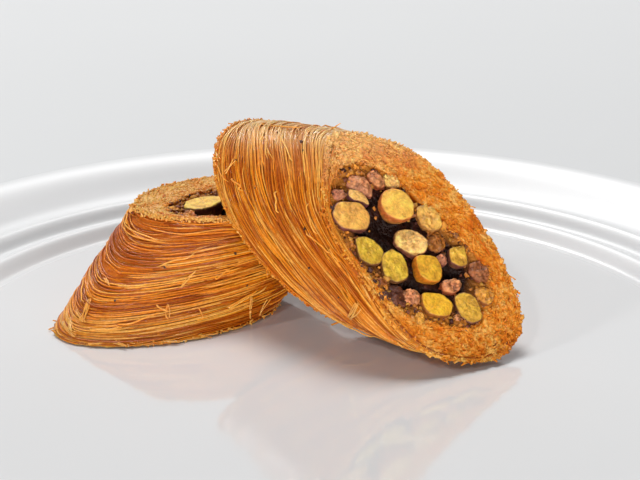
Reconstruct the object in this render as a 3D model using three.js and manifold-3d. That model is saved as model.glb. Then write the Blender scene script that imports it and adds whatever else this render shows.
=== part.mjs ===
// Plate of pistachio burma kadayif: two slices of a roll of thin pastry strands wound round
// pistachio kernels. One lies flat, the other leans on it, both on a round porcelain plate.
// Millimetres, +Z up, with the origin under the middle of the plate, on the table.
import * as THREE from "three";
import { ParametricGeometry } from "three/addons/geometries/ParametricGeometry.js";
import { mergeVertices } from "three/addons/utils/BufferGeometryUtils.js";
import Module from "manifold-3d";

const wasm = await Module();
wasm.setup();

// Gap kept between pieces that touch
const CLEARANCE = 0.3;

// Plate: a flat well, two raised ribs round it and a gently lifted rim
const PLATE_RADIUS = 130;
const PLATE_WALL = 5;
const PLATE_SEGMENTS = 56;
const WELL_TOP = 8;
const FOOT_INNER = 62;
const FOOT_OUTER = 69;
const FOOT_SLOPE = 2;
const RIB_RADII = [93, 105];
const RIB_HALF_WIDTH = 5;
const RIB_HEIGHT = 3;
const RIM_START = 111;
const RIM_LIFT = 7;
const LIP_RADIUS = 1.6;

// Slices: half length, half width and thickness of a slanted cut through the roll.
// The slant is how far the upper cut face is shifted along X and Y from the lower one.
// The tilts are how far each cut face rises over half the length.
// A trim is the outline's distance from a plain ellipse at every 30 degrees.
const ROUND = [1, 1, 1, 1, 1, 1, 1, 1, 1, 1, 1, 1];
const FRONT = {
  halfLength: 31,
  halfWidth: 18.5,
  thickness: 23.4,
  slant: [-22.5, -3.3],
  tiltLow: -1.3,
  tiltHigh: 1.3,
  trimLow: ROUND,
  trimHigh: [1.01, 0.92, 0.98, 0.97, 1.1, 1.01, 0.99, 1.02, 0.96, 0.95, 1.01, 0.96],
  hole: { centre: [1.3, 2.7], halfLength: 23.5, halfWidth: 13 },
  holeTrim: [0.99, 1.02, 1.1, 1.0, 1.02, 0.9, 0.98, 1.06, 1.2, 0.89, 0.87, 0.96],
  ridges: 9,
  drift: 0.12,
  driftTurn: -60,
  around: 50,
};
const BACK = {
  halfLength: 28,
  halfWidth: 16,
  thickness: 22.6,
  slant: [25.5, 11.5],
  tiltLow: 0,
  tiltHigh: -0.9,
  trimLow: ROUND,
  trimHigh: ROUND,
  hole: { centre: [0.5, -1.5], halfLength: 20.5, halfWidth: 10.5 },
  holeTrim: [1, 1.02, 0.97, 1.03, 1, 0.96, 1, 1.04, 1, 0.97, 1.02, 1],
  ridges: 8,
  drift: 0.08,
  driftTurn: 120,
  around: 44,
};
const SWELL = 0.03;
const GROOVE = [0.2, 0.75];
const CREST_DIP = 0.35;
const FACE_ROWS = 3;
const FACE_GRAIN = 0.22;
const EDGE_ROUNDING = 0.5;

// Where the slices lie on the plate, and how the leaning one is turned
const FRONT_SPOT = [10.3, 17.3];
const FRONT_TURN = { yaw: 144.9, pitch: -41.3, roll: -17.3 };
const BACK_SPOT = [-26.7, 30.6];
const BACK_YAW = 25.7;

// Filling: a dark nut paste below the cut face, with kernels that stand out of it
const PASTE_DEPTH = 1.5;
const PASTE_BUMP = 0.5;
const PASTE_RINGS = 2;
const PASTE_SIDES = 36;
const PASTE_GAP = 0.8;
const KERNEL_GAP = 0.45;
const KERNEL_REACH = 3;
const KERNEL_SIDES = 7;
const KERNEL_TURN = 60;
const KERNEL_DEPTH = 4;
const KERNEL_ROUNDING = 1.1;
const KERNEL_CROWN = 0.8;
// Kernels on the leaning slice's cut face: x, y, length, width, height above the face
const FRONT_KERNELS = [
  [14, 10, 9.4, 7.3, 0.6],
  [17, 5.5, 5.5, 2.6, 0.4],
  [10.5, -1, 9.2, 8.4, 1.6],
  [4.5, -7, 6.2, 7.8, 0.4],
  [1.5, 1.5, 7.8, 7.3, 0.9],
  [5.5, 12, 6.8, 6.8, 0.6],
  [-0.5, 9, 6.8, 8.2, 0.8],
  [-5.5, 3, 6.8, 7, 1.6],
  [-6.5, -6.5, 4.5, 5.2, 0.6],
  [-12.5, -9, 6.5, 5.8, 0.8],
  [-13, 6.5, 8.8, 5.4, 1],
  [-17.5, 0, 6.6, 8.2, 0.6],
  [-17.5, -6, 4.4, 4.8, 0.5],
  [-11.5, 0, 5.6, 3.8, 0.9],
  [19, 3, 5.8, 4.4, 0.5],
  [18.5, -2, 3.6, 4.4, 0.4],
  [16, -5, 3.8, 4.7, 0.3],
  [-1, -5, 4.3, 5.9, 0.4],
  [-6, 14, 7.6, 5.6, 0.2],
  [-13.5, 12, 3, 3.4, 0.3],
];
// Kernels on the flat slice's cut face, the longest one lying along its near side
const BACK_KERNELS = [
  [-12, 1.5, 13, 4.6, 0.9],
  [-17, -3, 4, 4.5, 0.5],
  [-6, -6, 7, 6, 0.2],
  [0.5, 3.5, 8, 6.5, 0.8],
  [3, -4.5, 7.5, 6.5, 0.6],
  [10, 0.5, 8, 7, 0.7],
  [12, -6.5, 6, 5, 0.3],
  [17, -3, 5.5, 6, 0.6],
];
const BACK_KERNEL_TURN = 5;
// Kernels on the hidden cut face stand on a jittered grid
const HIDDEN_SPACING = 9.4;
const HIDDEN_ROW_SPACING = 8;
const HIDDEN_ROWS = 2;
const HIDDEN_COLUMNS = 3;
const HIDDEN_JITTER = 2;
const HIDDEN_SIZE = [6.4, 9.6];
const HIDDEN_ROUNDNESS = 0.85;
const HIDDEN_PROUD = 0.3;
const HIDDEN_REACH = 0.8;

// Loose strands lying on the outside of the roll
const STRAND_RADIUS = 0.45;
const STRAND_SIDES = 4;
const STRAND_STEPS = 6;
const STRAND_SINK = 0.5;
const LOOSE = 6;
const LOOSE_LEVELS = [0.15, 0.75];
const LOOSE_LENGTH = [0.2, 0.4];
const LOOSE_CLIMB = [-0.12, 0.12];
const LOOSE_LIFT = 0.7;
// The stretch of the outside, in degrees round the slice, that is clear of other pieces
const FRONT_CLEAR = [15, 130];
const BACK_CLEAR = [190, 320];

const SEED_FRONT = 11;
const SEED_BACK = 29;

const radians = THREE.MathUtils.degToRad;
const lerp = THREE.MathUtils.lerp;

// Repeatable random numbers from 0 to 1
function randomFrom(seed) {
  let state = seed;
  return function next() {
    state = (state * 1664525 + 1013904223) % 4294967296;
    return state / 4294967296;
  };
}

// A closed mesh as a solid, and a solid as a geometry
function solidOf(geometry) {
  const bare = geometry.clone();
  bare.deleteAttribute("normal");
  bare.deleteAttribute("uv");
  const merged = mergeVertices(bare, 1e-4);
  const corners = merged.index.array;
  const triVerts = [];
  for (let i = 0; i < corners.length; i += 3) {
    const [a, b, c] = [corners[i], corners[i + 1], corners[i + 2]];
    if (a !== b && b !== c && c !== a) {
      triVerts.push(a, b, c);
    }
  }
  const vertProperties = merged.attributes.position.array;
  const mesh = new wasm.Mesh({ numProp: 3, vertProperties, triVerts: Uint32Array.from(triVerts) });
  return new wasm.Manifold(mesh);
}

function geometryOf(solid) {
  const mesh = solid.getMesh();
  const geometry = new THREE.BufferGeometry();
  geometry.setAttribute("position", new THREE.BufferAttribute(mesh.vertProperties, 3));
  geometry.setIndex(new THREE.BufferAttribute(mesh.triVerts, 1));
  geometry.computeVertexNormals();
  return geometry;
}

// A smooth closed curve through values given at equal angles
function roundTrip(values, phi) {
  const count = values.length;
  const place = (((phi / (2 * Math.PI)) % 1) + 1) % 1 * count;
  const i = Math.floor(place);
  const f = place - i;
  const [a, b, c, d] = [-1, 0, 1, 2].map((k) => values[(i + k + count) % count]);
  const bend = (2 * a - 5 * b + 4 * c - d) * f * f + (3 * b - a - 3 * c + d) * f * f * f;
  return (2 * b + (c - a) * f + bend) / 2;
}

// Fine unevenness that closes on itself round the slice
function grain(phi, row) {
  return Math.sin(13 * phi + 4.7 * row) * Math.cos(29 * phi - 2.3 * row);
}

// The hole's outline, before the slice is slanted
function holeEdge(slice, phi) {
  const trim = roundTrip(slice.holeTrim, phi);
  const x = slice.hole.centre[0] + slice.hole.halfLength * trim * Math.cos(phi);
  const y = slice.hole.centre[1] + slice.hole.halfWidth * trim * Math.sin(phi);
  return [x, y];
}

// A point of the upright slice moved to its place in the slanted one, level 0 to 1 being its height
function slanted(slice, x, y, level) {
  const along = x / slice.halfLength;
  const low = -slice.thickness / 2 + slice.tiltLow * along;
  const high = slice.thickness / 2 + slice.tiltHigh * along;
  return new THREE.Vector3(
    x + slice.slant[0] * (level - 0.5),
    y + slice.slant[1] * (level - 0.5),
    lerp(low, high, level),
  );
}

// A point of a slice: share 0 is the outside and 1 is the hole's wall
function slicePoint(slice, phi, level, share, inset) {
  const trim = lerp(roundTrip(slice.trimLow, phi), roundTrip(slice.trimHigh, phi), level);
  const swell = 1 + SWELL * 4 * level * (1 - level);
  const outerX = (slice.halfLength * trim * swell - inset) * Math.cos(phi);
  const outerY = (slice.halfWidth * trim * swell - inset) * Math.sin(phi);
  const [holeX, holeY] = holeEdge(slice, phi);
  return slanted(slice, lerp(outerX, holeX, share), lerp(outerY, holeY, share), level);
}

// Strand bundles drift along the roll as they go round it
function drifted(slice, phi, level) {
  const turn = Math.sin(phi + radians(slice.driftTurn));
  return level + slice.drift * turn * 4 * level * (1 - level);
}

// The wound strands: ridged outside, grainy cut faces and the hole that the filling goes in
function wrapGeometry(slice) {
  const wallRows = slice.ridges * 3;
  const rows = wallRows + 2 * FACE_ROWS + 1;
  function surface(u, v, target) {
    const phi = u * 2 * Math.PI;
    const row = Math.round(v * rows) % rows;
    if (row <= wallRows) {
      const ridge = Math.floor(row / 3);
      const level = drifted(slice, phi, row / wallRows);
      const valley = lerp(...GROOVE, 0.5 + 0.5 * Math.sin(3 * phi + 1.9 * ridge));
      const crest = CREST_DIP * (0.5 + 0.5 * Math.sin(2 * phi + 2.6 * ridge));
      target.copy(slicePoint(slice, phi, level, 0, row % 3 === 0 ? valley : crest));
      return;
    }
    const step = row - wallRows;
    const upper = step <= FACE_ROWS;
    const share = upper ? step / FACE_ROWS : (2 * FACE_ROWS + 1 - step) / FACE_ROWS;
    target.copy(slicePoint(slice, phi, upper ? 1 : 0, share, EDGE_ROUNDING));
    target.z += share < 1 ? FACE_GRAIN * (grain(phi, step) - 1) * (upper ? 1 : -1) : 0;
  }
  return new ParametricGeometry(surface, slice.around, rows);
}

// A plug with the hole's outline and a gap to its wall. Low and high are how far it stands out.
function plug(slice, gap, low, high, bump) {
  const [centreX, centreY] = slice.hole.centre;
  const rows = 2 * PASTE_RINGS + 1;
  function surface(u, v, target) {
    const phi = u * 2 * Math.PI;
    const row = Math.round(v * rows);
    const upper = row > PASTE_RINGS;
    const spread = (upper ? rows - row : row) / PASTE_RINGS;
    const [edgeX, edgeY] = holeEdge(slice, phi);
    const reach = Math.hypot(edgeX - centreX, edgeY - centreY);
    const share = (spread * (reach - gap)) / reach;
    const x = lerp(centreX, edgeX, share);
    const y = lerp(centreY, edgeY, share);
    const out = spread === 0 || spread === 1 ? 0 : bump * grain(phi, row);
    const level = upper ? 1 + (high + out) / slice.thickness : -(low + out) / slice.thickness;
    target.copy(slanted(slice, x, y, level));
  }
  return solidOf(new ParametricGeometry(surface, PASTE_SIDES, rows));
}

// One kernel: a rounded nut cut flat, standing on the face at height zero
function kernel(length, width, proud) {
  const profile = [
    new THREE.Vector2(0, -KERNEL_DEPTH),
    new THREE.Vector2(KERNEL_CROWN, -KERNEL_DEPTH),
    new THREE.Vector2(1, proud - KERNEL_ROUNDING),
    new THREE.Vector2(KERNEL_CROWN, proud - 0.2 * KERNEL_ROUNDING),
    new THREE.Vector2(0, proud),
  ];
  const geometry = new THREE.LatheGeometry(profile, KERNEL_SIDES);
  geometry.rotateX(Math.PI / 2);
  geometry.scale(length / 2, width / 2, 1);
  return geometry;
}

// A kernel put on the upper or the lower cut face of a slice
function placedKernel(slice, x, y, length, width, proud, turn, upper) {
  const geometry = kernel(length, width, proud);
  geometry.rotateZ(turn);
  if (!upper) {
    geometry.rotateX(Math.PI);
  }
  const spot = slanted(slice, x, y, upper ? 1 : 0);
  geometry.translate(spot.x, spot.y, spot.z);
  return solidOf(geometry);
}

// Kernels on a jittered grid over a hidden cut face
function hiddenKernels(slice, seed) {
  const random = randomFrom(seed);
  const placed = [];
  const [centreX, centreY] = slice.hole.centre;
  for (let row = -HIDDEN_ROWS; row <= HIDDEN_ROWS; row += 1) {
    for (let column = -HIDDEN_COLUMNS; column <= HIDDEN_COLUMNS; column += 1) {
      const dx = (column + 0.5 * (row % 2)) * HIDDEN_SPACING + random() * HIDDEN_JITTER;
      const dy = row * HIDDEN_ROW_SPACING + random() * HIDDEN_JITTER;
      const length = lerp(...HIDDEN_SIZE, random());
      const turn = random() * Math.PI;
      const reach = Math.hypot(dx / slice.hole.halfLength, dy / slice.hole.halfWidth);
      if (reach < HIDDEN_REACH) {
        const [x, y] = [centreX + dx, centreY + dy];
        const width = length * HIDDEN_ROUNDNESS;
        placed.push(placedKernel(slice, x, y, length, width, HIDDEN_PROUD, turn, false));
      }
    }
  }
  return placed;
}

// The filling runs through the slice and shows kernels at its cut faces
function fillingGeometry(slice, kernels, turn, hidden) {
  const lowPaste = hidden.length ? -PASTE_DEPTH : 0;
  const paste = plug(slice, PASTE_GAP, lowPaste, -PASTE_DEPTH, PASTE_BUMP);
  const shown = kernels.map(([x, y, length, width, proud]) =>
    placedKernel(slice, x, y, length, width, proud, turn, true));
  const lowReach = hidden.length ? KERNEL_REACH : 0;
  const room = plug(slice, KERNEL_GAP, lowReach, KERNEL_REACH, 0);
  const heap = wasm.Manifold.union([paste, ...shown, ...hidden]);
  return geometryOf(heap.intersect(room));
}

// A strand whose ends are sunk in the wall and whose middle stands off it
function looseStrand(slice, phi, level, length, climb, lift) {
  const points = [];
  for (let i = 0; i <= 4; i += 1) {
    const t = i / 4;
    const angle = phi + length * t;
    const height = level + climb * t;
    const off = -STRAND_SINK + (lift + STRAND_SINK) * Math.sin(Math.PI * t);
    points.push(slicePoint(slice, angle, height, 0, -off));
  }
  const section = new THREE.Shape();
  for (let i = 0; i < STRAND_SIDES; i += 1) {
    const a = (i / STRAND_SIDES) * 2 * Math.PI;
    const [x, y] = [STRAND_RADIUS * Math.cos(a), STRAND_RADIUS * Math.sin(a)];
    if (i === 0) {
      section.moveTo(x, y);
    } else {
      section.lineTo(x, y);
    }
  }
  const path = new THREE.CatmullRomCurve3(points);
  return solidOf(new THREE.ExtrudeGeometry(section, { steps: STRAND_STEPS, extrudePath: path }));
}

function wrapWithStrands(slice, clear, seed) {
  const random = randomFrom(seed);
  const pieces = [solidOf(wrapGeometry(slice))];
  for (let i = 0; i < LOOSE; i += 1) {
    const phi = radians(lerp(clear[0], clear[1], (i + random()) / LOOSE));
    const level = lerp(...LOOSE_LEVELS, random());
    const length = lerp(...LOOSE_LENGTH, random());
    const climb = lerp(...LOOSE_CLIMB, random());
    pieces.push(looseStrand(slice, phi, level, length, climb, LOOSE_LIFT));
  }
  return geometryOf(wasm.Manifold.union(pieces));
}

// The plate's section, from under its middle out to the lip and back over the top
function plateGeometry() {
  const under = WELL_TOP - PLATE_WALL;
  const rimTop = WELL_TOP + RIM_LIFT;
  const profile = [
    [0, under],
    [FOOT_INNER - FOOT_SLOPE, under],
    [FOOT_INNER, 0],
    [FOOT_OUTER, 0],
    [FOOT_OUTER + FOOT_SLOPE, under],
    [RIM_START + 2, under],
    [PLATE_RADIUS - LIP_RADIUS, rimTop - 2 * LIP_RADIUS],
    [PLATE_RADIUS, rimTop - LIP_RADIUS],
    [PLATE_RADIUS - LIP_RADIUS, rimTop],
    [PLATE_RADIUS - 3 * LIP_RADIUS, rimTop - 0.6],
    [lerp(RIM_START, PLATE_RADIUS, 0.45), WELL_TOP + 0.3 * RIM_LIFT],
    [RIM_START, WELL_TOP],
  ];
  for (const radius of [...RIB_RADII].reverse()) {
    for (const step of [1, 0.6, 0.2, -0.2, -0.6, -1]) {
      const height = RIB_HEIGHT * Math.cos((step * Math.PI) / 2);
      profile.push([radius + step * RIB_HALF_WIDTH, WELL_TOP + height]);
    }
  }
  profile.push([0, WELL_TOP]);
  const points = profile.map(([r, z]) => new THREE.Vector2(r, z));
  const lathe = new THREE.LatheGeometry(points, PLATE_SEGMENTS);
  lathe.rotateX(Math.PI / 2);
  return geometryOf(solidOf(lathe));
}

// Materials
const porcelain = new THREE.MeshStandardMaterial({ color: 0xeceef0, roughness: 0.12, metalness: 0 });
const pastry = new THREE.MeshStandardMaterial({ color: 0xc9701a, roughness: 0.45, metalness: 0 });
const nuts = new THREE.MeshStandardMaterial({ color: 0xb99a35, roughness: 0.5, metalness: 0 });

function named(name, geometry, material) {
  const mesh = new THREE.Mesh(geometry, material);
  mesh.name = name;
  return mesh;
}

// A slice's own group, stood on its lowest point
function sliceGroup(name, slice, wrap, filling, spot, turn) {
  const group = new THREE.Group();
  group.add(named(`${name}_wrap`, wrap, pastry));
  group.add(named(`${name}_filling`, filling, nuts));
  group.rotation.set(radians(turn.roll), radians(turn.pitch), radians(turn.yaw), "ZYX");
  const low = new THREE.Box3().setFromObject(group, true).min.z;
  group.position.set(spot[0], spot[1], WELL_TOP + CLEARANCE - low);
  return group;
}

const frontWrap = wrapWithStrands(FRONT, FRONT_CLEAR, SEED_FRONT);
const frontHidden = hiddenKernels(FRONT, SEED_FRONT);
const frontFilling = fillingGeometry(FRONT, FRONT_KERNELS, radians(KERNEL_TURN), frontHidden);
const backWrap = wrapWithStrands(BACK, BACK_CLEAR, SEED_BACK);
const backFilling = fillingGeometry(BACK, BACK_KERNELS, radians(BACK_KERNEL_TURN), []);
const flat = { yaw: BACK_YAW, pitch: 0, roll: 0 };

const part = new THREE.Group();
part.add(named("plate", plateGeometry(), porcelain));
part.add(sliceGroup("front", FRONT, frontWrap, frontFilling, FRONT_SPOT, FRONT_TURN));
part.add(sliceGroup("back", BACK, backWrap, backFilling, BACK_SPOT, flat));

export default part;
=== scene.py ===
"""Looks of a plate of pistachio burma kadayif.

Two slices of a strand pastry roll, filled with pistachio kernels, lie on a white porcelain plate.
Lengths are in millimetres until a mesh is made, and the slices are first built upright about
their own middle, then turned and set down where the solids are.
"""
import math
from types import SimpleNamespace

import bpy
import numpy as np
from mathutils import Euler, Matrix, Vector, noise


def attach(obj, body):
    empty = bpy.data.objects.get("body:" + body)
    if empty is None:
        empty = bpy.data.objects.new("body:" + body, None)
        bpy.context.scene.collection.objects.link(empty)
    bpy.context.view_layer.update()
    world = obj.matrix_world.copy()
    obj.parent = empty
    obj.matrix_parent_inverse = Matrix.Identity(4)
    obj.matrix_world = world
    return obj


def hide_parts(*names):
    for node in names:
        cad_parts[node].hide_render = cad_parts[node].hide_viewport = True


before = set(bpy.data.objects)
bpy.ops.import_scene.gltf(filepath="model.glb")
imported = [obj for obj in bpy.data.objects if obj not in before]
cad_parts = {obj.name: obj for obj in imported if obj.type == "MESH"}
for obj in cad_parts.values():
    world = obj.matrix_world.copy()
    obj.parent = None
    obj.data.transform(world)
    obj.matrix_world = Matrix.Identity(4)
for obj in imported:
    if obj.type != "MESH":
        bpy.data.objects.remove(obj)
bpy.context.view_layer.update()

MM = 0.001
TAU = 2 * math.pi

# Plate, as in the solid but turned more finely
PLATE_RADIUS = 130
PLATE_WALL = 5
WELL_TOP = 8
PLATE_GAP = 0.03    # least gap between the food and the plate
FOOT_INNER = 62
FOOT_OUTER = 69
FOOT_SLOPE = 2
RIB_RADII = [93, 105]
RIB_HALF_WIDTH = 5
RIB_HEIGHT = 3
RIM_START = 111
RIM_LIFT = 7
LIP_RADIUS = 1.6
PLATE_SEGMENTS = 256
AXIS_RADIUS = 0.5    # where its section starts and ends

# Slices. Their shapes are the solids', but for the place and length of the flat one's hole. The
# outline is an ellipse trimmed at every 30 degrees. The values from drift to tone are for the looks:
# the solids have a drift of their own.
ROUND = [1] * 12
SWELL = 0.03
FRONT = SimpleNamespace(
    name="front", half_length=31, half_width=18.5, thickness=23.4,
    slant=(-22.5, -3.3), tilt_low=-1.3, tilt_high=1.3,
    trim_low=ROUND,
    trim_high=[1.01, 0.92, 0.98, 0.97, 1.1, 1.01, 0.99, 1.02, 0.96, 0.95, 1.01, 0.96],
    hole_centre=(1.3, 2.7), hole_half_length=23.5, hole_half_width=13,
    hole_trim=[0.99, 1.02, 1.1, 1, 1.02, 0.9, 0.98, 1.06, 1.2, 0.89, 0.87, 0.96],
    drift=0.08, drift_turn=-60, comb=0.1,
    cavities=[(7.2, 4, 2.6), (22.1, 7, 1.8), (-7, 8.4, 2), (-10, -2.8, 1.8), (9.7, -7.3, 1.5)],
    # pale: how much painted sheen the slice gets where it faces up
    pale=1, crust=0.5, relief=1, tone=0,
    spot=(10.3, 17.3, 29.8), turn=(-17.3, -41.3, 144.9),
)
BACK = SimpleNamespace(
    name="back", half_length=28, half_width=16, thickness=22.6,
    slant=(25.5, 11.5), tilt_low=0, tilt_high=-0.9,
    trim_low=ROUND, trim_high=ROUND,
    hole_centre=(-0.8, -3.5), hole_half_length=21.3, hole_half_width=10.5,
    hole_trim=[1, 1.02, 0.97, 1.03, 1, 0.96, 1, 1.04, 1, 0.97, 1.02, 1],
    drift=0.13, drift_turn=120, comb=0.1,
    cavities=[(-8, -8.3, 3.2), (-13.2, -8, 2.6), (-3, -8, 2.5), (-9, -4.5, 2.5)],
    # tone paints this slice's strands darker, as shade; pale gives it little painted sheen
    pale=0.1, crust=0.75, relief=0.4, tone=-0.08,
    spot=(-26.7, 30.6, 19.6), turn=(0, 0, 25.7),
)

# Strands, and the comb that lifts them along one side of the slice and lowers them along the other
STRAND_RADIUS = 0.17
STRAND_SPACING = 0.36
STRAND_POINTS = 20
STRAND_LEVELS = (0.012, 0.982)
COMB_MIDDLE = 0.05
COMB_STEEPNESS = 3
UNDER_PARTS = 4
# Painted sheen of the light from above, lighter where the pastry faces up and at the very top: where
# facing up starts to count, between which heights, and how much height counts
SHEEN_FROM = 0.72
SHEEN_HEIGHT = (43, 53)
SHEEN_BY_HEIGHT = 0.5

# Body under the strands: its depth, points round it and rows of its wall and of each cut face
CORE_DEPTH = 0.65
CORE_AROUND = 300
WALL_ROWS = 30
FACE_ROWS = 30

# How far noise shifts for each step of its seed
NOISE_SHIFT = (7.31, 3.17, 5.73)
# Cut faces, with layers of noise as height, scale and seed
GRAIN_LAYERS = [(0.36, 0.9, 6), (0.3, 2, 16)]
GRAIN_SINK = 0.25
GRAINS = {"upper": 4200, "lower": 2500}
PATCH_LAYERS = [(0.5, 0.22, 2), (0.3, 0.8, 4)]
# Share of the way in to the hole from which the cut face gets painted shade
HOLE_SHADE_FROM = 0.85
# Ragged edges: depth, noise as scale and seed, reach and crumb size of each fringe, and its clumps
RAGGED = 0.6
RAGGED_NOISE = (0.6, 8)
UPPER_FRINGE = (1.3, 0.47)
LOWER_FRINGE = (0.6, 0.42)
FRINGE_CLUMPS = {"upper": 1500, "lower": 160}

# Loose hairs: angle in degrees and level of both ends, how far the tip lifts and how many lie
# there, after how far both angles and both levels stray
HAIR_STRAY = (0.8, 1.1, 0.006, 0.01)
FRONT.hairs = [
    (114, 0.52, 102, 0.82, 0.9, 6), (99, 0.93, 92, 1, 0.9, 2), (352, 0.86, 346, 0.9, 1.5, 1),
    (358, 0.28, 359, 0.66, 0.5, 2), (41, 0.12, 34, 0.25, 0.5, 2), (27, 0.02, 34, 0.07, 0.6, 3),
    (71, 0.6, 75, 0.63, 0.5, 2), (20, 0.5, 28, 0.56, 0.4, 2), (140, 0.3, 150, 0.5, 0.7, 3),
    (200, 0.7, 190, 0.4, 0.8, 3), (250, 0.2, 262, 0.45, 0.7, 3), (310, 0.6, 300, 0.3, 0.8, 3),
]
BACK.hairs = [
    (245, 0.45, 248, 0.57, 0.8, 2), (248, 0.22, 244, 0.32, 0.7, 3), (239, 0.32, 246, 0.27, 0.6, 2),
    (262, 0.3, 268, 0.18, 0.5, 1), (299, 0.07, 286, 0.28, 0.8, 2), (305, 0.05, 300, 0.22, 0.9, 2),
    (228, 0.05, 236, 0, 0.9, 3), (255, 0.03, 262, 0, 1.2, 3), (273, 0.03, 280, 0, 0.8, 2),
    (197, 0.5, 204, 0.45, 1, 2), (188, 0.22, 202, 0.17, 0.5, 4), (187, 0.15, 197, 0.08, 0.5, 4),
    (194, 0.32, 200, 0.18, 0.5, 4), (180, 0.1, 202, 0.05, 0.5, 5), (60, 0.4, 72, 0.5, 0.7, 3),
    (100, 0.7, 92, 0.5, 0.8, 3), (150, 0.3, 140, 0.45, 0.6, 3), (20, 0.3, 28, 0.4, 0.7, 2),
]
# Dark specks on the wall, as angle and level
FRONT.specks = [
    (6, 0.53), (11, 0.77), (17, 0.8), (102, 0.63), (32, 0.23), (48, 0.4), (66, 0.75), (88, 0.55),
]
BACK.specks = [(230, 0.62), (262, 0.7), (214, 0.35), (280, 0.4), (120, 0.5), (60, 0.6)]
SPECK = (0.07, 0.022, 0.012)

# Kernels on the leaning slice's cut face: x, y, height above the face, kind and eight radii that
# run round its outline by 45 degrees, the first along its length axis
FRONT.kernels = [
    (14, 10, 0.4, "tan", 4.9, 4.5, 3.8, 5.1, 5, 4.5, 3.5, 4.5),
    (17, 5.5, 0.5, "yellow", 2.4, 1.8, 1.3, 3.8, 2.1, 1.4, 1.4, 2.5),
    (10.5, -1, 1.6, "pale", 4.2, 4.3, 4.4, 5, 4.6, 4.2, 4.1, 4.2),
    (4.5, -7, 0.2, "straw", 3, 3.4, 4.2, 4.3, 3, 2.7, 2.9, 3.6),
    (1.5, 1.5, 0.4, "cream", 4, 2.9, 3.8, 4.1, 4, 3.3, 3.7, 4.4),
    (5.5, 12, 0.4, "green", 2.7, 3.5, 4, 4.4, 4.1, 3.1, 3.3, 4),
    (-0.5, 9, 0.5, "green", 2.9, 3.9, 4.4, 4.6, 3.2, 3.3, 3.9, 3.5),
    (-5.5, 3, 1.6, "golden", 2.8, 3.2, 3.3, 4.3, 3.9, 4.1, 3.1, 4),
    (-6.5, -6.5, 0.3, "olive", 2, 2.7, 3, 3.6, 2.5, 3.5, 1.9, 2.2),
    (-12.5, -9, 0.5, "skin", 3, 2.9, 2.9, 3.2, 3.6, 3.4, 2.7, 3),
    (-13, 6.5, 0.6, "bright", 3.4, 3.3, 3.1, 4.3, 4.6, 3.3, 2.7, 4.2),
    (-17.5, 0, 0.4, "olive", 2.9, 3.2, 4.3, 4.7, 3.1, 3.4, 3.7, 3.9),
    (-17.5, -6, 0.2, "brown", 2.6, 2.4, 3, 2.5, 2.4, 2, 2.1, 2.6),
    (-11.5, 0, 0.9, "red", 2.6, 2.6, 2, 2, 3, 2.7, 1.4, 2.3),
    (19, 3, 0.5, "pink", 3.1, 2.5, 2, 4.6, 3, 2.7, 2.4, 3.1),
    (18.5, -2, 0.5, "red", 2.2, 2.2, 3.2, 3.4, 1.5, 1.6, 1.6, 2.2),
    (16, -5, -0.1, "nutty", 2.3, 2.4, 2.4, 2.5, 1.8, 1.8, 1.9, 2.2),
    (-1, -5, 0.2, "smear", 2.6, 3.6, 3.4, 2.8, 2.4, 2, 2.4, 2.5),
    (-6, 14, 0.1, "dark", 4.4, 4.2, 3.6, 4, 4.2, 3.8, 3.2, 4),
    (-13.5, 12, 0.1, "brown", 1.2, 1.5, 2, 1.5, 1.1, 1.3, 1.5, 1.4),
    (-8.6, 9.9, 0.1, "red", 3, 2.5, 2.3, 2.3, 2.7, 2.2, 2, 2.5),
    (-2, 14.2, 0.1, "skin", 2.2, 1.6, 1.2, 1.4, 2, 1.5, 1.1, 1.4),
    (19.8, 9, 0.2, "plum", 1.8, 1.6, 1.7, 1.8, 2.2, 1.6, 1.4, 1.6),
    (-5.3, -3, 0.2, "plum", 1.5, 1.6, 1.8, 1.6, 1.4, 1.6, 1.5, 1.4),
    (-18.5, 3.2, -0.1, "red", 2.6, 1.4, 1.1, 1.4, 2.6, 1.4, 1, 1.4),
]
FRONT.kernel_turn = 60
# Kernels on the flat slice's cut face: x, y, height, kind, length and width
BACK.kernels = [
    (-12.4, -2.2, 0.3, "strip", 13, 6.2),
    (-17.6, -7.2, -0.2, "red", 4.4, 3.2),
    (-14.4, -10, -0.6, "plum", 5, 2.4),
    (-20.2, -3.2, 0, "brown", 2.8, 2.6),
    (0.5, 2.5, 0.8, "green", 8, 6.5),
    (2.5, -6.5, 0.6, "golden", 7.5, 6.5),
    (9.5, -1, 0.7, "tan", 8, 7),
    (11, -8.3, 0.3, "olive", 6, 5),
    (16.2, -4.4, 0.6, "yellow", 5.5, 6),
]
BACK.kernel_turn = 5
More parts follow.
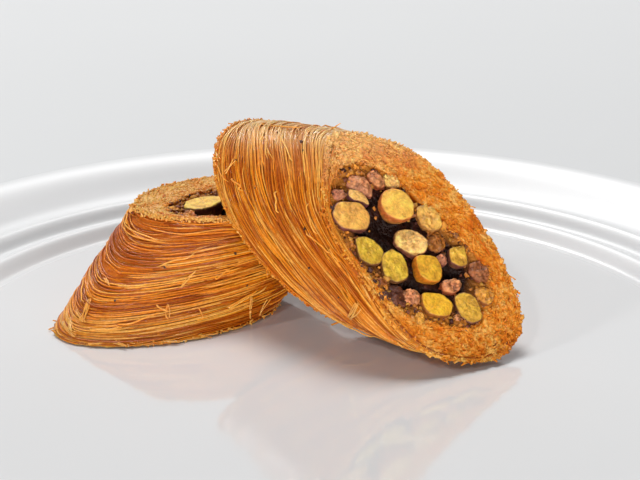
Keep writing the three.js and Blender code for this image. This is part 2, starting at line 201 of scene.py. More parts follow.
# Flesh colour, skin colour and crumbliness of each kind of kernel
KINDS = {
    "tan": ((0.9, 0.43, 0.095), (0.16, 0.045, 0.035), 0.7),
    "yellow": ((0.88, 0.46, 0.14), (0.12, 0.035, 0.045), 0.7),
    "pale": ((1, 0.54, 0.1), (0.5, 0.13, 0.03), 0.4),
    "straw": ((0.82, 0.41, 0.09), (0.4, 0.17, 0.04), 1.2),
    "olive": ((0.72, 0.37, 0.045), (0.14, 0.045, 0.03), 0.9),
    "cream": ((1, 0.56, 0.18), (0.2, 0.06, 0.035), 1.3),
    "green": ((0.72, 0.42, 0.04), (0.16, 0.06, 0.02), 0.8),
    "golden": ((0.84, 0.42, 0.034), (0.55, 0.17, 0.012), 0.5),
    "bright": ((0.9, 0.45, 0.03), (0.3, 0.1, 0.02), 0.7),
    "strip": ((0.98, 0.56, 0.09), (0.1, 0.035, 0.02), 0.8),
    "skin": ((0.34, 0.1, 0.032), (0.2, 0.055, 0.02), 2),
    "red": ((0.66, 0.24, 0.1), (0.3, 0.07, 0.025), 2),
    "nutty": ((0.95, 0.5, 0.15), (0.45, 0.2, 0.06), 1.2),
    "pink": ((0.64, 0.25, 0.12), (0.3, 0.09, 0.05), 1.6),
    "brown": ((0.7, 0.28, 0.038), (0.25, 0.08, 0.02), 1.3),
    "plum": ((0.5, 0.17, 0.09), (0.2, 0.05, 0.04), 1.8),
    "smear": ((0.38, 0.12, 0.014), (0.25, 0.08, 0.04), 1.5),
    "dark": ((0.12, 0.03, 0.014), (0.06, 0.016, 0.012), 2.2),
}
SKINS = {"skin", "red", "pink", "plum", "smear", "dark"}
SKIN_DOME = 0.9
FLESH_DOME = 0.15
KERNEL_CORNERS = 8
EASING_ROUNDS = 4
# Rings of a kernel from below, as share of its outline and height, its noise as scale and step of
# the seed, and how far its flesh turns green
KERNEL_SIDE = [
    (0.82, -4), (0.93, -2.6), (0.99, -1.6), (1, -0.9), (1, -0.45), (0.985, -0.18), (0.95, -0.04),
]
KERNEL_TOP = [0.9, 0.84, 0.77, 0.69, 0.6, 0.51, 0.42, 0.33, 0.24, 0.15, 0.06]
KERNEL_PROFILE = KERNEL_SIDE + [(share, 0) for share in KERNEL_TOP]
KERNEL_NOISE = [(0.5, 0), (1.1, 3), (2.4, 6)]
LEAFY = (0.12, -0.02, 0.02)

# Kernels of the hidden cut face, placed and sized as in the solids
HIDDEN_SPACING = 9.4
HIDDEN_ROW_SPACING = 8
HIDDEN_ROWS = 2
HIDDEN_COLUMNS = 3
HIDDEN_JITTER = 2
HIDDEN_SIZE = (6.4, 9.6)
HIDDEN_ROUNDNESS = 0.85
HIDDEN_PROUD = 0.3
HIDDEN_REACH = 0.8
HIDDEN_KINDS = ["tan", "green", "golden", "olive", "cream", "yellow", "bright", "pink"]
SEED_FRONT = 11

# Paste and bits of nut between the kernels
PASTE_LAYERS = [(0.45, 0.35, 4), (0.35, 0.9, 9)]
CRUMB_COLOURS = [
    (0.82, 0.32, 0.04), (0.36, 0.13, 0.035), (0.24, 0.07, 0.03), (0.75, 0.26, 0.03),
    (0.07, 0.02, 0.014), (0.6, 0.28, 0.045), (0.62, 0.22, 0.035),
]

# Colour ramps, as places and colours
STRAND_STOPS = [(0, (0.46, 0.1, 0.002)), (0.35, (0.92, 0.29, 0.008)), (1, (1, 0.5, 0.1))]
CRUMB_STOPS = [(0, (0.68, 0.16, 0.006)), (0.5, (0.87, 0.31, 0.028)), (1, (0.97, 0.54, 0.14))]
PATCHY_STOPS = [(0.35, (0.94, 0.82, 0.6)), (0.62, (1, 1, 1))]
GRAINY_STOPS = [(0.36, (0.62, 0.42, 0.25)), (0.58, (1, 1, 1))]
# Painted sheen: how far the pastry is lightened towards a pale colour
PAINTED_SHEEN_STOPS = [(0, (0, 0, 0)), (1, (0.75, 0.75, 0.75))]
# Painted shade: darker the deeper a strand or the core lies, and towards the hole
PAINTED_SHADE_STOPS = [(0.15, (1, 1, 1)), (0.9, (0.55, 0.33, 0.17))]
MOTTLE_STOPS = [(0.33, (0.78, 0.66, 0.45)), (0.62, (1.06, 1.04, 1))]
PASTE_STOPS = [
    (0, (0.012, 0.004, 0.003)), (0.35, (0.05, 0.012, 0.008)), (0.7, (0.17, 0.05, 0.02)),
    (1, (0.42, 0.17, 0.045)),
]
PORCELAIN_STOPS = [(0.3, (0.74, 0.745, 0.75)), (0.7, (0.76, 0.765, 0.77))]
FLOOR_STOPS = [(0.3, (0.7, 0.706, 0.71)), (0.7, (0.72, 0.726, 0.73))]
# Roughness of the glaze, from the well out to the ribs, with distances in metres
SATIN_RANGE = {"From Min": 0.08, "From Max": 0.092, "To Min": 0.06, "To Max": 0.42}

# Studio, in metres: each light's name, place, width and height, and power
LIGHTS = [
    ("behind", (-0.25, 1.25, 2.15), (1, 1), 50),
    ("front", (0.1, -1.3, 0.09), (1.8, 0.16), 20),
    ("left", (-1.1, -0.25, 0.75), (0.15, 0.15), 2.4),
    ("glint", (-0.6, -0.9, 1.1), (0.08, 0.08), 2.8),
    ("backdrop", (0, 1.6, 0.5), (3, 0.9), 7),
]

# Camera, from the photograph: where it looks, how far away it is, its height angle and field of view
TARGET = (0, 20, 27.1)
DISTANCE = 422
ELEVATION = 21.03
FIELD_OF_VIEW = 20
SENSOR = 36


def angles(count):
    """Angles of that many equal steps round a circle."""
    return np.arange(count) / count * TAU


def unit(v):
    return v / np.linalg.norm(v, axis=-1, keepdims=True)


def mix(a, b, t):
    return a + (b - a) * t


def clamp(v):
    return np.clip(v, 0, 1)


def midway(level):
    """0 at both cut faces and 1 halfway between them."""
    return 4 * level * (1 - level)


def bell(t):
    """1 at 0, falling smoothly to 0 at -1 and 1."""
    return 0.5 + 0.5 * math.cos(math.pi * t)


def toward_ends(t, part):
    """0 along a path, rising to 1 at both its ends over the given part of each half."""
    return np.maximum(0, np.abs(2 * t - 1) - (1 - part)) / part


def round_trip(values, phi):
    """A smooth closed curve through values given at equal angles."""
    values = np.asarray(values, float)
    place = np.mod(phi / TAU, 1.0) * len(values)
    i = np.floor(place).astype(int)
    f = place - i
    a, b, c, d = (values[(i + k) % len(values)] for k in (-1, 0, 1, 2))
    bend = (2 * a - 5 * b + 4 * c - d) * f**2 + (3 * b - a - 3 * c + d) * f**3
    return (2 * b + (c - a) * f + bend) / 2


def lumpy(points, scale, seed):
    """Smooth noise from -1 to 1 at each point."""
    shift = Vector([seed * part for part in NOISE_SHIFT])
    flat = points.reshape(-1, 3)
    values = [noise.fractal(Vector(p) * scale + shift, 1.0, 2.0, 3) for p in flat.tolist()]
    return np.array(values).reshape(points.shape[:-1])


def layered(points, layers):
    """Noise in layers, each given by its height, scale and seed."""
    return sum(height * lumpy(points, scale, seed) for height, scale, seed in layers)


def hole_edge(cut, phi):
    trim = round_trip(cut.hole_trim, phi)
    x = cut.hole_centre[0] + cut.hole_half_length * trim * np.cos(phi)
    y = cut.hole_centre[1] + cut.hole_half_width * trim * np.sin(phi)
    return x, y


def in_hole(cut, phi, share):
    """x and y of a point of the hole: share 0 is its centre and 1 its edge."""
    hole_x, hole_y = hole_edge(cut, phi)
    return mix(cut.hole_centre[0], hole_x, share), mix(cut.hole_centre[1], hole_y, share)


def slanted(cut, x, y, level):
    """A point of the upright slice moved to its place in the slanted one."""
    x, y, level = np.broadcast_arrays(x, y, level)
    along = x / cut.half_length
    low = -cut.thickness / 2 + cut.tilt_low * along
    high = cut.thickness / 2 + cut.tilt_high * along
    sx = x + cut.slant[0] * (level - 0.5)
    sy = y + cut.slant[1] * (level - 0.5)
    return np.stack([sx, sy, mix(low, high, level)], -1)


def slice_point(cut, phi, level, share=0.0):
    """A point of a slice: share 0 is the outside and 1 is the hole's wall."""
    phi, level, share = np.broadcast_arrays(phi, level, share)
    trim = mix(round_trip(cut.trim_low, phi), round_trip(cut.trim_high, phi), level)
    swell = 1 + SWELL * midway(level)
    outer_x = cut.half_length * trim * swell * np.cos(phi)
    outer_y = cut.half_width * trim * swell * np.sin(phi)
    hole_x, hole_y = hole_edge(cut, phi)
    return slanted(cut, mix(outer_x, hole_x, share), mix(outer_y, hole_y, share), level)


def face_of(upper):
    """The level of a cut face and the direction straight out of it."""
    return (1.0, np.array([0, 0, 1.0])) if upper else (0.0, np.array([0, 0, -1.0]))


def sideways(normal):
    """The way out of the wall that stays level with the cut faces, as long as 1 of true depth."""
    flat = normal * (1, 1, 0)
    return flat / np.sum(flat**2, axis=-1, keepdims=True)


def wall(cut, phi, level):
    """The outside's point, its direction round the slice and its outward normal."""
    small = 1e-3
    point = slice_point(cut, phi, level)
    round_way = slice_point(cut, phi + small, level) - slice_point(cut, phi - small, level)
    up_way = slice_point(cut, phi, level + small) - slice_point(cut, phi, level - small)
    return point, unit(round_way), unit(np.cross(round_way, up_way))


def drifted(cut, phi, level):
    """Strands wander up and down as they go round, fastest at the two ends of the slice."""
    shift = cut.drift * np.sin(phi + math.radians(cut.drift_turn))
    shift = shift + cut.comb * np.tanh(COMB_STEEPNESS * np.sin(phi - COMB_MIDDLE))
    return level + shift * midway(level)


def arc_table(cut):
    """Angles round the slice and the length of outline up to each."""
    phi = np.linspace(0, TAU, 721)
    points = slice_point(cut, phi, 0.5)
    steps = np.linalg.norm(np.diff(points, axis=0), axis=1)
    return phi, np.concatenate([[0], np.cumsum(steps)])


def angle_at(cut, arc):
    phi, lengths = arc_table(cut)
    turns = np.floor(arc / lengths[-1])
    return np.interp(arc - turns * lengths[-1], lengths, phi) + turns * TAU


def turn_of(cut):
    """The matrix that turns the upright slice."""
    return np.array(Euler([math.radians(a) for a in cut.turn], "XYZ").to_matrix())


def set_down(cut, points):
    """Points of the upright slice, turned and moved to their place, none of them in the plate."""
    placed = points @ turn_of(cut).T + cut.spot
    placed[..., 2] = np.maximum(placed[..., 2], WELL_TOP + PLATE_GAP)
    return placed


def painted_sheen(cut, points, normals):
    """Painted sheen of the light from above, from 0 to 1: most where the pastry faces up and at the very
    top.
    """
    up = normals @ turn_of(cut)[2]
    facing = cut.pale * clamp((up - SHEEN_FROM) / (1 - SHEEN_FROM))
    low, high = SHEEN_HEIGHT
    tall = clamp((set_down(cut, points)[..., 2] - low) / (high - low))
    return clamp(facing + SHEEN_BY_HEIGHT * tall)


def add_object(name, data):
    """A new object in the scene."""
    made = bpy.data.objects.new(name, data)
    bpy.context.scene.collection.objects.link(made)
    return made


class Heap:
    """Gathers many small shapes into one mesh, each with a tone of its own."""

    def __init__(self):
        self.points = []
        self.faces = []
        self.tones = []
        self.first = 0
        self.count = 0

    def add(self, points, faces, tones):
        """Points (n, 3), faces as an index array, tones (n, 3) or one tone for all."""
        points = np.asarray(points, float).reshape(-1, 3)
        self.first = self.count
        self.points.append(points)
        self.faces.append(np.asarray(faces, int) + self.first)
        self.tones.append(np.broadcast_to(tones, (len(points), 3)))
        self.count += len(points)

    def close(self, *caps):
        """Adds faces of any number of corners to the shape added last."""
        for cap in caps:
            self.faces.append(np.atleast_2d(cap) + self.first)

    def add_rings(self, points, tones):
        """Adds rings of points (rows, around, 3), closed at both ends."""
        rows, around = points.shape[:2]
        ring = np.arange(around)
        self.add(points, grid_faces(rows, around), tones)
        self.close(ring[::-1], (rows - 1) * around + ring)

    def piece(self, name, cut, material, slot):
        """Makes the mesh, set down on the plate if it belongs to a slice."""
        points = np.concatenate(self.points)
        if cut:
            points = set_down(cut, points)
        faces = [face for group in self.faces for face in group.tolist()]
        mesh = bpy.data.meshes.new(name)
        mesh.from_pydata((points * MM).tolist(), [], faces)
        tone = mesh.attributes.new("tone", "FLOAT_COLOR", "POINT")
        colours = np.ones((len(points), 4))
        colours[:, :3] = np.concatenate(self.tones)
        tone.data.foreach_set("color", colours.ravel())
        mesh.polygons.foreach_set("use_smooth", [True] * len(mesh.polygons))
        mesh.materials.append(material)
        mesh.update()
        piece = add_object(name, mesh)
        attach(piece, "root")
        return piece


def grid_faces(rows, columns, wrap_rows=False):
    """Quads of a grid that closes on itself along its columns."""
    r = np.arange(rows if wrap_rows else rows - 1)[:, None]
    c = np.arange(columns)[None, :]
    nr, nc = (r + 1) % rows, (c + 1) % columns
    quads = np.stack([r * columns + c, r * columns + nc, nr * columns + nc, nr * columns + c], -1)
    return quads.reshape(-1, 4)


def tubes(heap, paths, outward, radii, tones, sides):
    """Closed tubes along many paths of equal count (n, m, 3)."""
    n, m, _ = paths.shape
    along = unit(np.gradient(paths, axis=1))
    side = unit(np.cross(along, outward))
    up = np.cross(side, along)
    angle = angles(sides)
    ring = np.cos(angle)[:, None] * side[:, :, None, :] + np.sin(angle)[:, None] * up[:, :, None, :]
    points = paths[:, :, None, :] + radii[:, :, None, None] * ring
    tone = np.broadcast_to(tones[:, :, None, :], points.shape)
    quads = grid_faces(m, sides)[:, ::-1]
    starts = np.arange(n)[:, None] * m * sides
    heap.add(points, (quads[None] + starts[..., None]).reshape(-1, 4), tone.reshape(-1, 3))
    heap.close(starts + np.arange(sides), starts + np.arange(sides)[::-1] + (m - 1) * sides)


def column(values):
    """One value for each strand, set beside the points along it."""
    return np.asarray(values, float)[:, None]


def strands(cut, heap, rng, arc, level, length, climb, depth, sway, tone, radius=STRAND_RADIUS, sides=5):
    """Strands laid round the slice, with one value of arc to tone for each strand."""
    t = np.linspace(0, 1, STRAND_POINTS)[None, :]
    phi = angle_at(cut, column(arc) + column(length) * t)
    count = len(arc)
    wave = rng.uniform(0, TAU, (count, 2))
    wander = column(sway) * np.sin(TAU * 1.3 * t + wave[:, :1])
    raw = column(level) + column(climb) * (t - 0.5) + wander
    clipped = np.clip(raw, *STRAND_LEVELS)
    over = np.abs(raw - clipped) * cut.thickness
    ends = toward_ends(t, 0.2)
    ripple = 0.08 * np.sin(TAU * 2.1 * t + wave[:, 1:])
    sink = column(depth) + over + 0.5 * ends + ripple
    point, _, normal = wall(cut, phi, drifted(cut, phi, clipped))
    paths = point - sideways(normal) * sink[..., None]
    radii = radius * (1 - 0.5 * ends) * rng.uniform(0.8, 1.2, (count, 1))
    tones = np.zeros((count, STRAND_POINTS, 3))
    # Red tone, shifted by the slice's tone: painted shade that darkens the back slice's strands
    tones[..., 0] = column(tone) + cut.tone
    # Green tone: painted shade, darker the deeper the strand lies among the others
    tones[..., 1] = clamp(sink / CORE_DEPTH)
    # Blue tone: painted sheen where the strand faces up or lies high
    tones[..., 2] = painted_sheen(cut, paths, normal)
    tubes(heap, paths, normal, radii, tones, sides)


def under_layer(cut, heap, rng):
    """Even rows of strands that cover the core, each row in a few parts."""
    _, lengths = arc_table(cut)
    rows = int(1.35 * cut.thickness / STRAND_SPACING)
    parts = UNDER_PARTS
    for k in range(rows):
        starts = np.sort(rng.uniform(0, lengths[-1], parts))
        spans = np.diff(np.append(starts, starts[0] + lengths[-1]))
        level = (k + 0.5 + rng.uniform(-0.3, 0.3, parts)) / rows
        depth = rng.uniform(0.3, 0.62, parts)
        strands(
            cut, heap, rng, arc=starts, level=level, length=spans + 3,
            climb=rng.normal(0, 0.012, parts), depth=depth, sway=rng.normal(0, 0.004, parts),
            tone=rng.uniform(0.0, 0.6, parts), sides=4,
        )


def bundle(cut, heap, rng, arc, level, length, climb, count, depth):
    """Neighbouring strands that run together and lie a little higher in the middle."""
    across = np.arange(count) - (count - 1) / 2
    step = STRAND_SPACING / (1.2 * cut.thickness)
    levels = level + step * (across + rng.normal(0, 0.35, count))
    crown = 0.3 * (2 * across / max(count, 2)) ** 2
    depths = depth + crown + rng.uniform(-0.15, 0.15, count)
    starts = arc + rng.normal(0, 2.0, count)
    spans = length * rng.uniform(0.75, 1.15, count)
    climbs = climb + rng.normal(0, 0.009, count)
    sways = rng.normal(0, 0.005) + rng.normal(0, 0.002, count)
    tone = clamp(rng.uniform(0.1, 0.75) + rng.normal(0, 0.33, count))
    strands(cut, heap, rng, starts, levels, spans, climbs, depths, sways, tone)


def bundles(cut, heap, rng, number):
    _, lengths = arc_table(cut)
    for k in range(number):
        bundle(
            cut, heap, rng, arc=rng.uniform(0, lengths[-1]), level=(k + rng.uniform(0, 1)) / number,
            length=rng.uniform(20, 46), climb=rng.normal(0, 0.03),
            count=int(rng.integers(5, 13)), depth=rng.uniform(0, 0.4),
        )


def flyaways(cut, heap, rng, number):
    """Single strands that lie on the others, a little across them."""
    _, lengths = arc_table(cut)
    strands(
        cut, heap, rng, arc=rng.uniform(0, lengths[-1], number),
        level=rng.uniform(0.05, 0.95, number), length=rng.uniform(3, 9, number),
        climb=rng.normal(0, 0.07, number), depth=rng.uniform(-0.35, 0, number),
        sway=rng.normal(0, 0.01, number), tone=rng.uniform(0.6, 1, number), radius=0.2,
    )


def hairs(cut, heap, rng):
    """Loose ends that lie over the strands and lift at their tips."""
    t = np.linspace(0, 1, 9)[None, :]
    for start, low, end, high, lift, count in cut.hairs:
        stray = rng.normal(0, 1, (4, count, 1)) * np.array(HAIR_STRAY)[:, None, None]
        phi = np.radians(mix(start + stray[0], end + stray[1], t))
        level = mix(low + stray[2], high + stray[3], t)
        point, round_way, normal = wall(cut, phi, level)
        rise = mix(-0.1, lift * rng.uniform(0.6, 1.1, (count, 1)), t**1.6)
        radii = rng.uniform(0.15, 0.22, (count, 1)) * (1 - 0.4 * t)
        tones = np.zeros((count, t.size, 3))
        tones[..., 0] = rng.uniform(0.55, 0.95, (count, 1))
        # A little painted sheen on every hair
        tones[..., 2] = 0.15
        bend = rng.normal(0, 0.25, (count, 1)) * np.sin(math.pi * t)
        paths = point + normal * rise[..., None] + round_way * bend[..., None]
        tubes(heap, paths, normal, radii, tones, sides=5)


def specks(cut, heap, rng):
    """Dark bits of nut skin that stick to the strands."""
    phi, level = np.array(cut.specks).T
    point, _, normal = wall(cut, np.radians(phi), level)
    sizes = rng.uniform(0.45, 0.8, len(phi))
    crumbs(heap, rng, point + 0.05 * normal, sizes, np.full((len(phi), 3), SPECK))


def face_height(points):
    """The uneven grain of a cut face."""
    return layered(points, GRAIN_LAYERS) - GRAIN_SINK


def face_tones(cut, rng, points, share, upper, spread):
    """Random pale and dark patches over a cut face, with painted shade where they meet the hole and
    painted sheen where it faces up.
    """
    _, out = face_of(upper)
    patch = layered(points, PATCH_LAYERS)
    tones = np.zeros((*share.shape, 3))
    tones[..., 0] = clamp(cut.crust + patch + rng.normal(0, spread, share.shape))
    # Green tone: painted shade towards the hole's edge
    tones[..., 1] = 0.4 * clamp((share - HOLE_SHADE_FROM) / (1 - HOLE_SHADE_FROM))
    tones[..., 2] = np.minimum(1, 1.6 * painted_sheen(cut, points, out))
    return tones


def face_rows(cut, rng, phi, upper):
    """A cut face from its ragged rim in to the hole, with its tones."""
    level, face_out = face_of(upper)
    share = np.linspace(0, 1, FACE_ROWS)[:, None]
    flat = slice_point(cut, phi[None, :], level, share)
    out = unit(flat[0] - flat[1])
    ragged = RAGGED * np.clip(lumpy(flat[0], *RAGGED_NOISE), -0.3, 1)
    reach = clamp(1 - share / 0.12)
    points = flat + out * ragged[:, None] * reach[..., None]
    height = cut.relief * face_height(flat)
    points[..., 2] += height * face_out[2]
    tones = face_tones(cut, rng, flat, share + 0 * height, upper, spread=0.06)
    # Painted light and shade of the grain: paler where it stands high, painted shade where it lies low
    tones[..., 0] = clamp(tones[..., 0] + 1.2 * (height + GRAIN_SINK))
    tones[..., 1] = clamp(tones[..., 1] - 1.5 * (height + 0.3))
    return points, tones


def core(cut, heap, rng):
    """The closed body under the strands: wall, upper cut face, hole and lower cut face."""
    phi = angles(CORE_AROUND)
    rows = []
    tones = []
    for level in np.linspace(0.01, 0.99, WALL_ROWS):
        point, _, normal = wall(cut, phi, np.full(CORE_AROUND, level))
        ridges = 0.12 * np.sin(11 * TAU * level + 2 * np.sin(3 * phi))
        bumps = ridges + rng.normal(0, 0.05, CORE_AROUND)
        rows.append(point - sideways(normal) * (CORE_DEPTH + bumps)[:, None])
        # The core shows only in the gaps between strands: darker strand tone and painted shade, plus
        # painted sheen
        shade = np.full((CORE_AROUND, 3), (0.3, 0.7, 0.0))
        shade[:, 2] = painted_sheen(cut, point, normal)
        tones.append(shade)
    points, shades = face_rows(cut, rng, phi, True)
    rows.extend(points)
    tones.extend(shades)
    for level in np.linspace(0.93, 0.07, 5):
        rows.append(slice_point(cut, phi, level, 1.0))
        # The hole's wall: darker tone and full painted shade
        tones.append(np.full((CORE_AROUND, 3), (0.2, 1.0, 0.0)))
    points, shades = face_rows(cut, rng, phi, False)
    rows.extend(points[::-1])
    tones.extend(shades[::-1])
    heap.add(np.array(rows), grid_faces(len(rows), CORE_AROUND, wrap_rows=True), np.concatenate(tones))


CUBE_POINTS = unit(np.array([(x, y, z) for x in (-1, 1) for y in (-1, 1) for z in (-1, 1)], float))
CUBE_FACES = np.array([
    (0, 1, 3, 2), (4, 6, 7, 5), (0, 4, 5, 1), (2, 3, 7, 6), (0, 2, 6, 4), (1, 5, 7, 3),
])


def random_turns(rng, count):
    """Random rotation matrices, from random quaternions."""
    w, x, y, z = unit(rng.normal(0, 1, (count, 4))).T
    return np.stack([
        1 - 2 * (y * y + z * z), 2 * (x * y - z * w), 2 * (x * z + y * w),
        2 * (x * y + z * w), 1 - 2 * (x * x + z * z), 2 * (y * z - x * w),
        2 * (x * z - y * w), 2 * (y * z + x * w), 1 - 2 * (x * x + y * y),
    ], axis=-1).reshape(count, 3, 3)


def crumbs(heap, rng, centres, sizes, tones):
    """Small uneven lumps."""
    count = len(centres)
    corners = len(CUBE_POINTS)
    shape = CUBE_POINTS[None] * rng.uniform(0.75, 1.5, (count, corners, 1))
    shape = shape * rng.uniform(0.6, 1.4, (count, 1, 3))
    points = np.einsum("nij,nkj->nki", random_turns(rng, count), shape)
    points = centres[:, None, :] + points * (sizes / 2)[:, None, None]
    faces = CUBE_FACES[None] + np.arange(count)[:, None, None] * corners
    heap.add(points, faces.reshape(-1, 4), np.repeat(tones, corners, axis=0))


def on_face(cut, rng, count, upper):
    """Random points of a cut face, even over its area, with the direction round the slice."""
    small = 0.01
    tries = 4 * count
    phi = rng.uniform(0, TAU, tries)
    share = rng.uniform(-0.02, 1.03, tries)
    level, _ = face_of(upper)
    point = slice_point(cut, phi, level, share)
    round_step = slice_point(cut, phi + small, level, share) - point
    inward_step = slice_point(cut, phi, level, share + small) - point
    area = np.linalg.norm(np.cross(round_step, inward_step), axis=1)
    keep = rng.uniform(0, area.max(), tries) < area
    return point[keep][:count], unit(round_step[keep][:count]), share[keep][:count]


def face_lumps(cut, heap, rng, upper, number):
    """Loose grains on a cut face."""
    _, out = face_of(upper)
    point, _, share = on_face(cut, rng, number, upper)
    height = cut.relief * face_height(point) + rng.normal(-0.07, 0.06, len(point))
    sizes = rng.lognormal(math.log(0.4), 0.3, len(point))
    tones = face_tones(cut, rng, point, share, upper, spread=0.108)
    crumbs(heap, rng, point + out * height[:, None], sizes, tones)


def stubs(cut, heap, rng, upper, points, share, paths, outward, radii, spread):
    """Short straws of three points each, in the tones of the cut face where they grow."""
    tones = face_tones(cut, rng, points, share, upper, spread)
    tones = np.repeat(tones[:, None, :], 3, axis=1)
    radii = np.repeat(radii, 3, axis=1)
    tubes(heap, paths, np.broadcast_to(outward, paths.shape), radii, tones, sides=4)


def face_stubs(cut, heap, rng, upper, number):
    """Short cut ends that lie round the slice among the grain."""
    _, out = face_of(upper)
    point, round_way, share = on_face(cut, rng, number, upper)
    count = len(point)
    inward = np.cross(out, round_way)
    turn = rng.normal(0, 0.5, count)
    lift = rng.normal(0.05, 0.2, count)
    way = round_way * np.cos(turn)[:, None] + inward * np.sin(turn)[:, None] + out * lift[:, None]
    length = rng.lognormal(math.log(1.2), 0.35, count)
    bend = rng.normal(0, 0.12, (count, 1)) * inward
    middle = point + out * rng.uniform(-0.35, 0.0, count)[:, None]
    reach = unit(way) * (length / 2)[:, None]
    paths = np.stack([middle - reach, middle + bend, middle + reach], axis=1)
    radii = rng.uniform(0.14, 0.24, (count, 1))
    stubs(cut, heap, rng, upper, point, share, paths, out, radii, spread=0.084)


def rim_strands(cut, heap, rng, upper, number):
    """Strands that lie in the cut face along its rim, most of them where the wall is thin."""
    level, out = face_of(upper)
    tries = rng.uniform(0, TAU, number * 12)
    outer = slice_point(cut, tries, level, 0)
    wide = np.linalg.norm(outer - slice_point(cut, tries, level, 1), axis=1)
    keep = rng.uniform(0, 1, len(tries)) < (wide.min() / wide) ** 3
    start = tries[keep][:number]
    count = len(start)
    t = np.linspace(0, 1, 14)[None, :]
    span = rng.uniform(4, 15, (count, 1)) / cut.half_length
    share = rng.uniform(0.12, 0.95, (count, 1)) + rng.normal(0, 0.08, (count, 1)) * (t - 0.5)
    phi = start[:, None] + span * (t - 0.5)
    ends = toward_ends(t, 0.25)
    ripple = 0.06 * np.sin(TAU * 2 * t + start[:, None])
    height = rng.uniform(-0.4, 0.05, (count, 1)) - 0.4 * ends + ripple
    paths = slice_point(cut, phi, level, share) + out * height[..., None]
    radii = rng.uniform(0.17, 0.26, (count, 1)) * (1 - 0.4 * ends)
    tones = np.zeros((*phi.shape, 3))
    tones[..., 0] = rng.uniform(0.0, 0.7, (count, 1))
    tones[..., 2] = painted_sheen(cut, paths, out)
    tubes(heap, paths, np.broadcast_to(out, paths.shape), radii, tones, sides=4)


def fringe(cut, heap, rng, upper, clumps, straws):
    """The ragged edge of a cut face: clumps of crumbs and a few cut ends that stick out."""
    edge, out = face_of(upper)
    reach, crumb_size = UPPER_FRINGE if upper else LOWER_FRINGE
    phi = rng.uniform(0, TAU, clumps)
    level = edge - out[2] * rng.uniform(-0.05, 0.7, clumps) / cut.thickness
    point, _, normal = wall(cut, phi, level)
    bumps = np.clip(lumpy(point, *RAGGED_NOISE), -0.2, 1)
    bumps = bumps + 1.3 * clamp(lumpy(point, 0.28, 9))
    ragged = reach * RAGGED * bumps * rng.uniform(0.2, 1, clumps)
    sizes = rng.lognormal(math.log(crumb_size), 0.35, clumps)
    spot = point + sideways(normal) * (ragged - 0.22)[:, None]
    tones = face_tones(cut, rng, point, np.zeros(clumps), upper, spread=0.096)
    crumbs(heap, rng, spot, sizes, tones)
    phi = rng.uniform(0, TAU, straws)
    level = edge - out[2] * rng.uniform(0, 0.5, straws) / cut.thickness
    point, round_way, normal = wall(cut, phi, level)
    way = round_way * rng.choice([-1, 1], (straws, 1)) + normal * rng.uniform(-0.2, 0.9, (straws, 1))
    way[:, 2] += rng.uniform(-0.5, 0.5, straws)
    way = unit(way)
    length = rng.lognormal(math.log(1.1), 0.4, (straws, 1))
    start = point - sideways(normal) * 0.4
    paths = np.stack([start, start + way * length / 2, start + way * length], axis=1)
    radii = rng.uniform(0.13, 0.22, (straws, 1))
    outward = normal[:, None, :]
    stubs(cut, heap, rng, upper, point, np.zeros(straws), paths, outward, radii, spread=0.096)


def uneven(rng, length, width):
    """Radii of an uneven outline of the given size, one for each corner."""
    theta = angles(KERNEL_CORNERS)
    even = 1 / np.hypot(np.cos(theta) / (length / 2), np.sin(theta) / (width / 2))
    return even * rng.uniform(0.88, 1.1, KERNEL_CORNERS)


def straight_sided(radii, around):
    """Points of a polygon through the given radii, with its corners eased."""
    steps = np.arange(KERNEL_CORNERS + 1)
    theta = steps / KERNEL_CORNERS * TAU
    corners = np.append(radii, radii[0])[:, None] * np.stack([np.cos(theta), np.sin(theta)], -1)
    place = np.arange(around) / around * KERNEL_CORNERS
    edge = np.stack([np.interp(place, steps, corners[:, k]) for k in (0, 1)], -1)
    for _ in range(EASING_ROUNDS):
        edge = (np.roll(edge, 1, axis=0) + 2 * edge + np.roll(edge, -1, axis=0)) / 4
    return edge


def kernel(cut, heap, rng, x, y, proud, kind, radii, turn, upper):
    """One kernel, cut across, with its skin on the sides."""
    flesh, skin, rough = KINDS[kind]
    around = 48 if upper else 28
    edge = straight_sided(radii, around)
    share, height = np.array(KERNEL_PROFILE).T[..., None]
    height = height + proud
    px = share * edge[:, 0]
    py = share * edge[:, 1]
    tilt = rng.normal(0, 0.07, 2)
    lean = np.where(height > proud - 1, tilt[0] * px + tilt[1] * py, 0)
    pz = height + lean - (SKIN_DOME if kind in SKINS else FLESH_DOME) * share**2
    points = np.stack([px, py, pz], -1)
    seed = rng.uniform(0, 50)
    broad, middling, fine = (lumpy(points, scale, seed + step) for scale, step in KERNEL_NOISE)
    top = clamp((1.0 - share) / 0.12)
    crumbly = 0.35 * broad + 0.3 * np.abs(middling) + 0.16 * fine
    points[..., 2] += rough * (crumbly - 0.1) * (0.25 + 0.75 * top)
    points[..., :2] *= 1 + (0.06 * rough * (middling + 0.7 * fine) * (1 - 0.7 * top))[..., None]
    rim = clamp((share - 0.93) / 0.05 + 0.8 * fine + 0.5 * middling)
    rim = np.where(height < proud - 0.3, np.maximum(rim, 0.75), rim * (share > 0.86))
    shade = 1 + 0.35 * broad + 0.4 * middling * rough + 0.3 * fine
    leafy = clamp(0.5 + 1.2 * broad)[..., None] * LEAFY
    tones = (flesh - leafy * flesh) * shade[..., None]
    tones = mix(tones, skin * (1 + 0.6 * fine + 0.4 * middling)[..., None], rim[..., None])
    c, s = math.cos(turn), math.sin(turn)
    points[..., :2] = points[..., :2] @ np.array([[c, s], [-s, c]])
    if not upper:
        points[..., 1:] *= -1
    spot = slanted(cut, x, y, face_of(upper)[0])
    heap.add_rings(points + spot, clamp(tones).reshape(-1, 3))


def random_from(seed):
    """The solids' own random numbers, for kernels that have to lie where theirs do."""
    state = seed
    while True:
        state = (state * 1664525 + 1013904223) % 4294967296
        yield state / 4294967296


